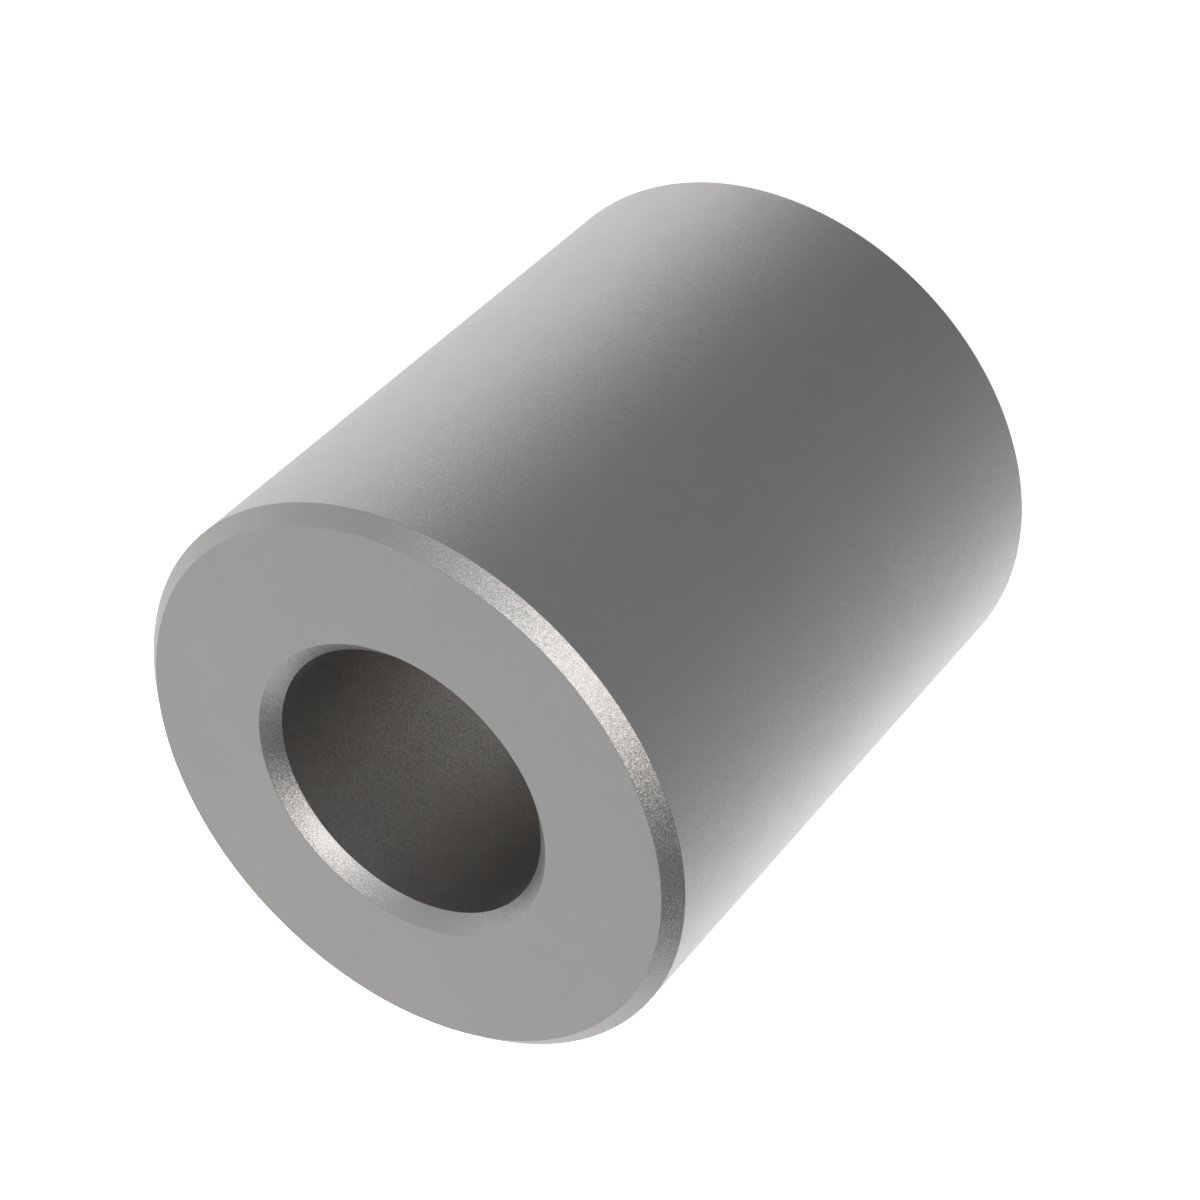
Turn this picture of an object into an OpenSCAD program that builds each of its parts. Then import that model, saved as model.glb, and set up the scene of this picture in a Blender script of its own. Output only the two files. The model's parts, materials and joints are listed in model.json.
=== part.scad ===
// Plain steel bushing: a thick-walled sleeve, turned from one bar and bored straight through.
// Both ends are faced square, and each end has a chamfer round the outside and one round the bore.
// It stands on its lower end. The axis is +Z, and the origin is the centre of the lower end face.

/* [Sleeve] */
// Outside diameter, a press fit in its housing
outer_d = 39; // [32:0.5:60]
// Bore diameter, a running fit on its shaft
bore_d = 19; // [8:0.5:26]
// Overall length, from end face to end face
length = 45; // [12:0.5:120]

/* [Chamfers] */
// Radial width of the chamfer round the outside of each end
outer_chamfer = 1; // [0.2:0.1:1.4]
// Angle of the outer chamfer to the axis
outer_chamfer_angle = 45; // [15:5:60]
// Radial width of the chamfer round the mouth of the bore at each end
bore_chamfer = 1; // [0.2:0.1:1.4]
// Angle of the bore chamfer to the axis
bore_chamfer_angle = 45; // [15:5:60]

/* [Hidden] */

// Facets drawn round the axis
round_fn = 180;
// Radii of the two turned walls
outer_r = outer_d / 2;
bore_r = bore_d / 2;
// How far each chamfer runs along its wall from the end face
outer_chamfer_run = outer_chamfer / tan(outer_chamfer_angle);
bore_chamfer_run = bore_chamfer / tan(bore_chamfer_angle);

// Corners of the wall at one end, from the bore out to the outside, as [radius, height].
// face_z is the height of the end face, and inward is 1 where the metal lies above the face
// and -1 where it lies below.
function end_corners(face_z, inward) = [
    [bore_r, face_z + inward * bore_chamfer_run],
    [bore_r + bore_chamfer, face_z],
    [outer_r - outer_chamfer, face_z],
    [outer_r, face_z + inward * outer_chamfer_run]
];

function reversed(points) = [for (i = [len(points) - 1 : -1 : 0]) points[i]];

// Half section of the sleeve: out along the lower end, up the outside, and back in along the
// upper end, so that the bore wall closes it.
module wall_section() {
    lower_end = end_corners(0, 1);
    upper_end = end_corners(length, -1);
    polygon(concat(lower_end, reversed(upper_end)));
}

module bushing() {
    color("darkgray")
        rotate_extrude($fn = round_fn)
            wall_section();
}

bushing();
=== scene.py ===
"""A plain turned steel bushing, standing on its lower end in a pale studio.

The sleeve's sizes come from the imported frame. The light is what such a satin surface mirrors: large
soft lights in a pale room, the brightest of them above the camera and to its left.
"""

import json
import logging
import math
from collections.abc import Callable
from dataclasses import dataclass
from enum import Enum

import bmesh
import bpy
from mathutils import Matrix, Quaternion, Vector


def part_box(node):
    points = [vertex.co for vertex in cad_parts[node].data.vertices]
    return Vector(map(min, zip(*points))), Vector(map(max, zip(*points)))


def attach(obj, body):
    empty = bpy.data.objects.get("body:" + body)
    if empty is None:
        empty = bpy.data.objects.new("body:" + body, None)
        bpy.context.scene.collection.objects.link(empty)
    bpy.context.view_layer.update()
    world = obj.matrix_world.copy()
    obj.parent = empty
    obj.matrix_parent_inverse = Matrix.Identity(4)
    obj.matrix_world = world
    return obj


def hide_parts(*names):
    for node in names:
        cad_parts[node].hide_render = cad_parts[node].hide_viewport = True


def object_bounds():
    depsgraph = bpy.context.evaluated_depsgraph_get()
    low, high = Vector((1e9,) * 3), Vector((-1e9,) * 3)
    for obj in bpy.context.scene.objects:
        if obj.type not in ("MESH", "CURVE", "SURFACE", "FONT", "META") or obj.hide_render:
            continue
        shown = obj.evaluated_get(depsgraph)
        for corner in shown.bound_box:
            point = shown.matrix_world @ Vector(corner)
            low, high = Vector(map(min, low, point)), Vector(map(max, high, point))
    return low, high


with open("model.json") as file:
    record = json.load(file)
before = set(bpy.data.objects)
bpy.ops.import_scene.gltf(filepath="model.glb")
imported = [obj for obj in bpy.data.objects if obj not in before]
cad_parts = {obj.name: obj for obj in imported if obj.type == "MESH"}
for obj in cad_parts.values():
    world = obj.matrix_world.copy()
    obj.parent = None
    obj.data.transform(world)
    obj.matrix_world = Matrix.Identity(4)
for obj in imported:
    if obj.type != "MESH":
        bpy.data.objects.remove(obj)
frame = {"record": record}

CAD_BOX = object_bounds()
MM = 0.001
WHITE = (1.0, 1.0, 1.0, 1.0)

log = logging.getLogger("bushing")


class Rim(Enum):
    """The two walls of the sleeve that meet its end faces at an edge."""

    OUTSIDE = "outside"
    BORE = "bore"


class Hidden(Enum):
    """The kinds of ray that a studio piece can be hidden from, by Blender's names for them."""

    FROM_MIRRORS = "visible_glossy"
    FROM_SHADOWS = "visible_shadow"


def mount(name: str) -> dict:
    """Finds one of the record's mounts.

    Args:
        name: The mount's name.

    Returns:
        The mount, with its sizes in millimetres under dims.
    """
    return next(m for m in frame["record"]["mounts"] if m["name"] == name)


def start_piece() -> None:
    """Leaves nothing selected, so that the next operator acts on the new piece alone."""
    if bpy.context.object and bpy.context.object.mode != "OBJECT":
        bpy.ops.object.mode_set(mode="OBJECT")
    bpy.ops.object.select_all(action="DESELECT")


def select_edges(piece: bpy.types.Object, wanted: Callable[[bmesh.types.BMEdge], bool]) -> None:
    """Selects some of a piece's edges, and nothing else. The piece is in edit mode.

    Args:
        piece: The piece that is edited.
        wanted: Says of an edge whether it is selected.
    """
    bpy.ops.mesh.select_mode(type="EDGE")
    bpy.ops.mesh.select_all(action="DESELECT")
    mesh = bmesh.from_edit_mesh(piece.data)
    for edge in mesh.edges:
        if wanted(edge):
            edge.select_set(True)
    bmesh.update_edit_mesh(piece.data)


def select_faces(piece: bpy.types.Object, wanted: Callable[[bmesh.types.BMFace], bool]) -> int:
    """Selects some of a piece's faces, and nothing else. The piece is in edit mode.

    Args:
        piece: The piece that is edited.
        wanted: Says of a face whether it is selected.

    Returns:
        How many faces are selected.
    """
    bpy.ops.mesh.select_mode(type="FACE")
    bpy.ops.mesh.select_all(action="DESELECT")
    mesh = bmesh.from_edit_mesh(piece.data)
    chosen = [face for face in mesh.faces if wanted(face)]
    for face in chosen:
        face.select_set(True)
    bmesh.update_edit_mesh(piece.data)
    return len(chosen)


def apply_place(piece: bpy.types.Object) -> None:
    """Moves a piece's place into its mesh, so that its object sits at the origin, unturned."""
    start_piece()
    piece.select_set(True)
    bpy.context.view_layer.objects.active = piece
    bpy.ops.object.transform_apply(location=True, rotation=True, scale=True)


@dataclass(frozen=True)
class SatinSteel:
    """Bare steel with an even satin, on one of the sleeve's turned surfaces.

    Lengths are in metres. The metal is made of fine grains, each with a tilt and a gloss of its
    own, which glint where the surface catches light. The cloud and the mottle are the faint
    unevenness of such a finish over some millimetres, in colour and in gloss. The mottle takes the
    roughness of the glossiest grains from smooth to rough, and the dullest grains are rougher than
    those by grain_gloss.
    """

    name: str
    smooth: float
    rough: float
    grain_tilt: float
    grain_gloss: float = 0.0
    grain_size: float = 0.07 * MM
    cloud_size: float = 7.0 * MM
    mottle_size: float = 1.6 * MM
    colour: tuple[float, float, float] = (0.528, 0.521, 0.508)
    cloud_colour: tuple[float, float, float] = (0.496, 0.490, 0.477)

    CLOUD_DETAIL = 3.0
    MOTTLE_DETAIL = 4.0
    MOTTLE_LOW = 0.3
    MOTTLE_HIGH = 0.7
    MIDDLE_COLOUR = (0.5, 0.5, 0.5)

    def material(self) -> bpy.types.Material:
        """Makes the material.

        Returns:
            A metal whose colour, roughness and normal all read the piece's Object coordinates.
        """
        material = bpy.data.materials.new(self.name)
        material.use_nodes = True
        nodes, links = material.node_tree.nodes, material.node_tree.links
        shader = nodes["Principled BSDF"]
        shader.inputs["Metallic"].default_value = 1.0
        place = nodes.new("ShaderNodeTexCoord")

        cloud = self._noise(material, place, self.cloud_size, self.CLOUD_DETAIL)
        tint = nodes.new("ShaderNodeMix")
        tint.data_type = "RGBA"
        tint.inputs["A"].default_value = (*self.colour, 1.0)
        tint.inputs["B"].default_value = (*self.cloud_colour, 1.0)
        links.new(cloud.outputs["Fac"], tint.inputs["Factor"])
        links.new(tint.outputs["Result"], shader.inputs["Base Color"])

        mottle = self._noise(material, place, self.mottle_size, self.MOTTLE_DETAIL)
        satin = nodes.new("ShaderNodeMapRange")
        satin.inputs["From Min"].default_value = self.MOTTLE_LOW
        satin.inputs["From Max"].default_value = self.MOTTLE_HIGH
        satin.inputs["To Min"].default_value = self.smooth
        satin.inputs["To Max"].default_value = self.rough
        links.new(mottle.outputs["Fac"], satin.inputs["Value"])

        grains = nodes.new("ShaderNodeTexVoronoi")
        grains.inputs["Scale"].default_value = 1.0 / self.grain_size
        links.new(place.outputs["Object"], grains.inputs["Vector"])
        gloss = nodes.new("ShaderNodeMath")
        gloss.operation = "MULTIPLY_ADD"
        links.new(grains.outputs["Color"], gloss.inputs[0])
        gloss.inputs[1].default_value = self.grain_gloss
        links.new(satin.outputs["Result"], gloss.inputs[2])
        links.new(gloss.outputs["Value"], shader.inputs["Roughness"])
        links.new(self._tilted(material, grains), shader.inputs["Normal"])
        return material

    def _tilted(
        self, material: bpy.types.Material, grains: bpy.types.Node
    ) -> bpy.types.NodeSocket:
        """Tilts the surface, grain by grain.

        Args:
            material: The material.
            grains: The Voronoi node, whose Color gives each grain its tilt.

        Returns:
            The socket of the tilted normal.
        """
        nodes, links = material.node_tree.nodes, material.node_tree.links
        middled = nodes.new("ShaderNodeVectorMath")
        middled.operation = "SUBTRACT"
        middled.inputs[1].default_value = self.MIDDLE_COLOUR
        links.new(grains.outputs["Color"], middled.inputs[0])
        tilt = nodes.new("ShaderNodeVectorMath")
        tilt.operation = "SCALE"
        tilt.inputs["Scale"].default_value = self.grain_tilt
        links.new(middled.outputs["Vector"], tilt.inputs[0])
        surface = nodes.new("ShaderNodeNewGeometry")
        tilted = nodes.new("ShaderNodeVectorMath")
        tilted.operation = "ADD"
        links.new(surface.outputs["Normal"], tilted.inputs[0])
        links.new(tilt.outputs["Vector"], tilted.inputs[1])
        normal = nodes.new("ShaderNodeVectorMath")
        normal.operation = "NORMALIZE"
        links.new(tilted.outputs["Vector"], normal.inputs[0])
        return normal.outputs["Vector"]

    @staticmethod
    def _noise(
        material: bpy.types.Material, place: bpy.types.Node, size: float, detail: float
    ) -> bpy.types.Node:
        """Adds a noise texture to a material.

        Args:
            material: The material.
            place: The Texture Coordinate node, whose Object output the texture reads.
            size: The size of the texture's patches, in metres.
            detail: How many finer octaves it has.

        Returns:
            The noise node.
        """
        noise = material.node_tree.nodes.new("ShaderNodeTexNoise")
        noise.inputs["Scale"].default_value = 1.0 / size
        noise.inputs["Detail"].default_value = detail
        material.node_tree.links.new(place.outputs["Object"], noise.inputs["Vector"])
        return noise


@dataclass
class Sleeve:
    """The sleeve, turned in one piece and bored straight through.

    Lengths are in metres. Every edge has a chamfer, and every corner that a chamfer leaves is
    broken by a fine radius, as on any turned part that is safe to handle.
    """

    outer_radius: float
    bore_radius: float
    length: float
    outer_chamfer: float
    bore_chamfer: float
    edge_break: float = 0.03 * MM
    edge_break_steps: int = 3
    facets: int = 288
    ground: SatinSteel = SatinSteel("ground_steel", smooth=0.41, rough=0.43, grain_tilt=0.085)
    faced: SatinSteel = SatinSteel("faced_steel", smooth=0.41, rough=0.43, grain_tilt=0.05)
    cut: SatinSteel = SatinSteel(
        "cut_steel",
        smooth=0.33,
        rough=0.35,
        grain_tilt=0.24,
        grain_gloss=0.16,
        grain_size=0.05 * MM,
    )
    # The bore's roughness and grain are the bored surface's own. Its colour and cloud colour are tinted
    # warmer than the outside's: a painted warm cast of light in the bore.
    bored: SatinSteel = SatinSteel(
        "bored_steel_painted_warmth",
        smooth=0.36,
        rough=0.38,
        grain_tilt=0.14,
        grain_gloss=0.08,
        colour=(0.537, 0.521, 0.508),
        cloud_colour=(0.505, 0.490, 0.477),
    )
    piece: bpy.types.Object | None = None

    NAME = "sleeve"
    NODE = "bushing"
    SLOT = "satin_steel"
    TOUCH = 0.001 * MM
    LEVEL = 0.9
    UPRIGHT = 0.2
    SHARP_ANGLE = 30.0
    LARGEST_FACE_WINS = 100

    @classmethod
    def from_frame(cls) -> "Sleeve":
        """Reads the sleeve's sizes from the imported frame.

        Returns:
            A sleeve of the CAD node's length, with the walls that its two round mounts state.
            What a wall is shorter than the sleeve is two chamfers, at 45 degrees.
        """
        low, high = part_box(cls.NODE)
        length = high.z - low.z
        outside, bore = mount("outside")["dims"], mount("bore")["dims"]
        return cls(
            outer_radius=outside["r_mm"] * MM,
            bore_radius=bore["r_mm"] * MM,
            length=length,
            outer_chamfer=(length - outside["length_mm"] * MM) / 2,
            bore_chamfer=(length - bore["length_mm"] * MM) / 2,
        )

    def build(self) -> bpy.types.Object:
        """Models the sleeve, dresses it and puts it on its body.

        Returns:
            The finished piece, which stands for the CAD node.
        """
        self._turn_tube()
        self._cut_chamfer(Rim.OUTSIDE, self.outer_chamfer)
        self._cut_chamfer(Rim.BORE, self.bore_chamfer)
        self._break_edges()
        self._smooth()
        self._dress()
        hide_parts(self.NODE)
        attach(self.piece, "root")
        return self.piece

    def _turn_tube(self) -> None:
        """Makes the plain tube: a solid cylinder whose end faces are opened and joined by a bore."""
        start_piece()
        bpy.ops.mesh.primitive_cylinder_add(
            vertices=self.facets,
            radius=self.outer_radius,
            depth=self.length,
            end_fill_type="NGON",
            location=(0, 0, self.length / 2),
        )
        self.piece = bpy.context.object
        self.piece.name = self.piece.data.name = self.NAME
        apply_place(self.piece)
        bpy.ops.object.mode_set(mode="EDIT")
        select_faces(self.piece, self._is_level)
        bpy.ops.mesh.inset(thickness=self.outer_radius - self.bore_radius)
        bpy.ops.mesh.delete(type="FACE")
        select_edges(self.piece, lambda edge: edge.is_boundary)
        bpy.ops.mesh.bridge_edge_loops()
        bpy.ops.mesh.select_all(action="SELECT")
        bpy.ops.mesh.normals_make_consistent(inside=False)
        bpy.ops.object.mode_set(mode="OBJECT")

    def _cut_chamfer(self, rim: Rim, width: float) -> None:
        """Cuts the 45 degree chamfer round one wall, at both ends.

        Args:
            rim: The wall whose edges are cut.
            width: The chamfer's width, across the end face.
        """
        bpy.ops.object.mode_set(mode="EDIT")
        select_edges(
            self.piece,
            lambda edge: self._runs_round(edge)
            and self._at_an_end(edge)
            and self._is_outside(edge.verts[0]) == (rim is Rim.OUTSIDE),
        )
        bpy.ops.mesh.bevel(offset_type="OFFSET", offset=width, segments=1, affect="EDGES")
        bpy.ops.object.mode_set(mode="OBJECT")

    def _break_edges(self) -> None:
        """Rounds every corner that runs round the sleeve by the fine edge break."""
        bpy.ops.object.mode_set(mode="EDIT")
        select_edges(self.piece, self._runs_round)
        bpy.ops.mesh.bevel(
            offset_type="OFFSET",
            offset=self.edge_break,
            segments=self.edge_break_steps,
            affect="EDGES",
        )
        bpy.ops.object.mode_set(mode="OBJECT")

    def _smooth(self) -> None:
        """Shades the piece smooth, with the large faces flat and every turn kept in the edge breaks."""
        start_piece()
        self.piece.select_set(True)
        bpy.context.view_layer.objects.active = self.piece
        bpy.ops.object.shade_smooth_by_angle(angle=math.radians(self.SHARP_ANGLE))
        weighted = self.piece.modifiers.new("flat_faces", "WEIGHTED_NORMAL")
        weighted.mode = "FACE_AREA"
        weighted.weight = self.LARGEST_FACE_WINS
        bpy.ops.object.modifier_apply(modifier=weighted.name)

    def _dress(self) -> None:
        """Gives the outside, the end faces, the chamfers and the bore their finishes."""
        finishes = (
            (self.ground, lambda face: True),
            (self.faced, self._is_level),
            (self.cut, lambda face: not self._is_level(face) and not self._is_upright(face)),
            (self.bored, lambda face: self._is_upright(face) and not self._is_outside(face.verts[0])),
        )
        for index, (finish, covers) in enumerate(finishes):
            self.piece.data.materials.append(finish.material())
            self.piece.active_material_index = index
            bpy.ops.object.mode_set(mode="EDIT")
            count = select_faces(self.piece, covers)
            bpy.ops.object.material_slot_assign()
            bpy.ops.object.mode_set(mode="OBJECT")
            log.info("%s covers %d faces", finish.name, count)

    def _radius(self, point: bmesh.types.BMVert) -> float:
        """How far a point is from the sleeve's axis."""
        return point.co.xy.length

    def _is_outside(self, point: bmesh.types.BMVert) -> bool:
        """Whether a point is nearer to the outside wall than to the bore."""
        return self._radius(point) > (self.outer_radius + self.bore_radius) / 2

    def _is_level(self, face: bmesh.types.BMFace) -> bool:
        """Whether a face is part of an end face."""
        return abs(face.normal.z) > self.LEVEL

    def _is_upright(self, face: bmesh.types.BMFace) -> bool:
        """Whether a face is part of one of the two walls."""
        return abs(face.normal.z) < self.UPRIGHT

    def _runs_round(self, edge: bmesh.types.BMEdge) -> bool:
        """Whether an edge lies on a circle round the axis."""
        start, end = edge.verts
        level = abs(start.co.z - end.co.z) < self.TOUCH
        return level and abs(self._radius(start) - self._radius(end)) < self.TOUCH

    def _at_an_end(self, edge: bmesh.types.BMEdge) -> bool:
        """Whether an edge lies in one of the two end faces."""
        height = edge.verts[0].co.z
        return min(abs(height), abs(height - self.length)) < self.TOUCH


@dataclass(frozen=True)
class SoftLight:
    """One large soft light of the room, as the metal mirrors it.

    Azimuth is where it stands, seen from above: 0 is the camera's side, -Y, and 90 is +X. Spread is
    how far from its middle it has faded to about a third. All three angles are in degrees.
    """

    name: str
    azimuth: float
    elevation: float
    spread: float
    strength: float
    colour: tuple[float, float, float] = (1.0, 1.0, 1.0)

    def direction(self) -> Vector:
        """The way from the sleeve to the middle of the light."""
        turn, rise = math.radians(self.azimuth), math.radians(self.elevation)
        across = math.cos(rise)
        return Vector((math.sin(turn) * across, -math.cos(turn) * across, math.sin(rise)))

    def falloff(self) -> float:
        """How fast the light fades, for a fade of exp(falloff * (cosine - 1))."""
        return 1.0 / (1.0 - math.cos(math.radians(self.spread)))


@dataclass
class Studio:
    """The pale floor, the room's soft light and the camera."""

    lights: tuple[SoftLight, ...] = (
        SoftLight("key", -20, 50, 20, 2.7, colour=(1.05, 1.0, 0.98)),
        SoftLight("front", 5, 20, 40, 1.15, colour=(0.98, 1.0, 1.02)),
        SoftLight("back_right", 115, 35, 45, 0.6),
        SoftLight("back", 190, 20, 30, 0.75),
        SoftLight("back_left", 230, 10, 20, 0.75),
        SoftLight("floor_back", 150, -30, 45, 1.0),
        SoftLight("floor_back_left", 220, -40, 30, 1.25),
        SoftLight("floor_right", 95, -50, 25, 0.75),
        SoftLight("floor_left", -75, -45, 35, 0.35, colour=(0.98, 1.0, 1.04)),
    )
    floor_size: float = 8.0
    floor_gap: float = 0.02 * MM
    floor_colour: tuple[float, float, float] = (0.9, 0.9, 0.9)
    floor_glow: float = 0.7
    backdrop: float = 1.0
    wash_height: float = 0.9
    wash_size: float = 1.2
    wash_power: float = 20.0

    def build(self) -> None:
        """Makes the floor and the light."""
        self._floor()
        self._room()
        self._wash()

    def _floor(self) -> None:
        """Lays the pale floor under the sleeve.

        The metal doesn't mirror it: what it mirrors, above and below, is the room's soft light.
        """
        start_piece()
        bpy.ops.mesh.primitive_plane_add(size=self.floor_size, location=(0, 0, -self.floor_gap))
        floor = bpy.context.object
        floor.name = "studio_floor"
        for rays in (Hidden.FROM_MIRRORS, Hidden.FROM_SHADOWS):
            setattr(floor, rays.value, False)
        material = bpy.data.materials.new("studio_floor")
        material.use_nodes = True
        shader = material.node_tree.nodes["Principled BSDF"]
        shader.inputs["Base Color"].default_value = (*self.floor_colour, 1.0)
        shader.inputs["Roughness"].default_value = 1.0
        shader.inputs["Specular IOR Level"].default_value = 0.0
        shader.inputs["Emission Color"].default_value = WHITE
        shader.inputs["Emission Strength"].default_value = self.floor_glow
        floor.data.materials.append(material)

    def _room(self) -> None:
        """Makes the room: the soft lights, added up, and the white backdrop that the camera sees."""
        world = bpy.data.worlds.new("studio_room")
        bpy.context.scene.world = world
        world.use_nodes = True
        nodes, links = world.node_tree.nodes, world.node_tree.links
        backdrop = nodes["Background"]
        backdrop.inputs["Color"].default_value = WHITE
        backdrop.inputs["Strength"].default_value = self.backdrop
        place = nodes.new("ShaderNodeTexCoord")
        glow = self._glow(world, place, self.lights[0])
        for light in self.lights[1:]:
            added = nodes.new("ShaderNodeAddShader")
            links.new(glow, added.inputs[0])
            links.new(self._glow(world, place, light), added.inputs[1])
            glow = added.outputs["Shader"]
        seen = nodes.new("ShaderNodeLightPath")
        mix = nodes.new("ShaderNodeMixShader")
        links.new(seen.outputs["Is Camera Ray"], mix.inputs["Fac"])
        links.new(glow, mix.inputs[1])
        links.new(backdrop.outputs["Background"], mix.inputs[2])
        links.new(mix.outputs["Shader"], nodes["World Output"].inputs["Surface"])

    def _glow(
        self, world: bpy.types.World, place: bpy.types.Node, light: SoftLight
    ) -> bpy.types.NodeSocket:
        """Adds one soft light to the room.

        Args:
            world: The room.
            place: The Texture Coordinate node, whose Generated output is the direction looked in.
            light: The light.

        Returns:
            The socket of the light's glow, which fades with the angle from its middle.
        """
        nodes, links = world.node_tree.nodes, world.node_tree.links
        along = nodes.new("ShaderNodeVectorMath")
        along.operation = "DOT_PRODUCT"
        along.inputs[1].default_value = light.direction()
        links.new(place.outputs["Generated"], along.inputs[0])
        away = self._math(world, "SUBTRACT", along.outputs["Value"], 1.0)
        fade = self._math(world, "MULTIPLY", away, light.falloff())
        bright = self._math(world, "EXPONENT", fade)
        glow = nodes.new("ShaderNodeBackground")
        glow.inputs["Color"].default_value = (*light.colour, 1.0)
        links.new(self._math(world, "MULTIPLY", bright, light.strength), glow.inputs["Strength"])
        return glow.outputs["Background"]

    @staticmethod
    def _math(
        world: bpy.types.World,
        operation: str,
        first: bpy.types.NodeSocket,
        second: float | None = None,
    ) -> bpy.types.NodeSocket:
        """Adds one step of arithmetic to the room's nodes.

        Args:
            world: The room.
            operation: Blender's name for the step.
            first: What it works on.
            second: The number it works with, where the step has one.

        Returns:
            The socket that gives the result.
        """
        node = world.node_tree.nodes.new("ShaderNodeMath")
        node.operation = operation
        world.node_tree.links.new(first, node.inputs[0])
        if second is not None:
            node.inputs[1].default_value = second
        return node.outputs[0]

    def _wash(self) -> None:
        """Hangs the overhead light that whitens the floor. The metal doesn't mirror it."""
        start_piece()
        bpy.ops.object.light_add(type="AREA", location=(0, 0, self.wash_height))
        wash = bpy.context.object
        wash.name = "floor_wash"
        wash.data.shape = "DISK"
        wash.data.size = self.wash_size
        wash.data.energy = self.wash_power
        setattr(wash, Hidden.FROM_MIRRORS.value, False)


@dataclass
class PhotoCamera:
    """The camera, at the photograph's angle: it looks down on the upper end, rolled well over.

    Distance is from the middle of the sleeve, which it points at. Roll turns the camera about its
    line of sight, from level.
    """

    azimuth: float = 0.0
    elevation: float = 42.0
    roll: float = -133.8
    distance: float = 215.5 * MM
    lens: float = 100.0
    sensor: float = 36.0
    nearest: float = 1 * MM
    farthest: float = 100.0

    def build(self) -> bpy.types.Object:
        """Sets up the camera and makes it the scene's.

        Returns:
            The camera.
        """
        start_piece()
        low, high = CAD_BOX
        middle = (low + high) / 2
        turn, rise = math.radians(self.azimuth), math.radians(self.elevation)
        across = math.cos(rise)
        back = Vector((math.sin(turn) * across, -math.cos(turn) * across, math.sin(rise)))
        level = (-back).to_track_quat("-Z", "Y")
        rolled = level @ Quaternion((0, 0, 1), math.radians(self.roll))
        bpy.ops.object.camera_add(
            location=middle + back * self.distance, rotation=rolled.to_euler()
        )
        camera = bpy.context.object
        camera.name = "photo_camera"
        camera.data.lens = self.lens
        camera.data.sensor_width = self.sensor
        camera.data.sensor_fit = "AUTO"
        camera.data.clip_start = self.nearest
        camera.data.clip_end = self.farthest
        bpy.context.scene.camera = camera
        return camera


def set_colours() -> None:
    """Shows the light as it is, with no film look, as the plain catalogue picture does."""
    view = bpy.context.scene.view_settings
    view.view_transform = "Standard"
    view.look = "None"
    view.exposure = 0.0
    view.gamma = 1.0


def main() -> None:
    """Builds the camera, the sleeve and the studio, in that order."""
    logging.basicConfig(level=logging.INFO, format="%(name)s: %(message)s")
    set_colours()
    camera = PhotoCamera().build()
    log.info("%s looks from %s", camera.name, tuple(round(x, 4) for x in camera.location))
    sleeve = Sleeve.from_frame().build()
    log.info("%s has %d faces", sleeve.name, len(sleeve.data.polygons))
    studio = Studio()
    studio.build()
    log.info("the studio has %d soft lights", len(studio.lights))


if __name__ == "__main__":
    main()
